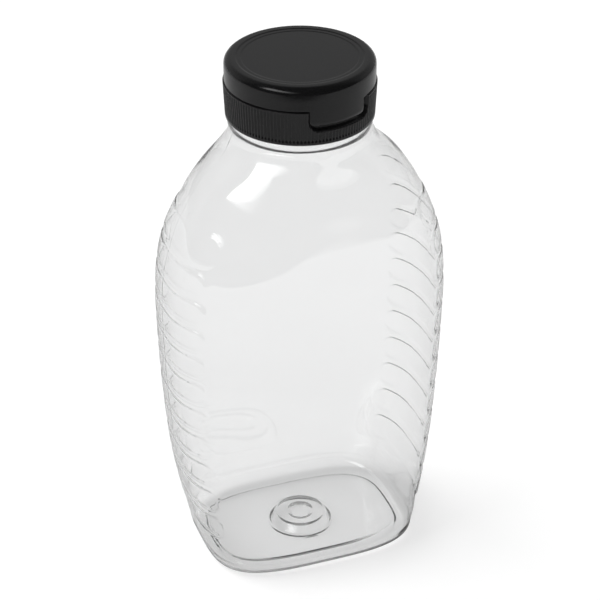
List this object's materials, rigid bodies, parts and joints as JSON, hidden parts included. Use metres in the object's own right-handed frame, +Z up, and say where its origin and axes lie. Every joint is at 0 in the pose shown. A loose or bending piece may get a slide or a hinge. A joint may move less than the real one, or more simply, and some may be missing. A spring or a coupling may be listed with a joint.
{
  "type": "honey bottle",
  "caption": "Empty clear squeeze bottle for honey: flattened oval body with ribbed grip sides, recessed base, and a black screw cap with a hinged flip lid over a pouring hole.",
  "frame": {"origin": "centre of the bottle's foot, on the surface it stands on", "axes": "+Z up along the neck, +X along the wide side, the front panel faces -Y"},
  "size_m": [0.0826, 0.0498, 0.1562],
  "materials": {
    "clear_plastic": "clear gloss",
    "black_plastic": "satin",
    "black_lid_plastic": "semi-gloss"
  },
  "bodies": {
    "bottle": {"bottle_shell": "clear_plastic", "cap_base": "black_plastic"},
    "lid": {"flip_lid": "black_lid_plastic"}
  },
  "joints": [
    {"name": "lid_hinge", "type": "hinge", "parent": "bottle", "child": "lid", "pos_m": [-0.00398, 0.02087, 0.1495], "axis": [-0.9823, -0.1874, 0], "range_deg": [0, 160]}
  ]
}
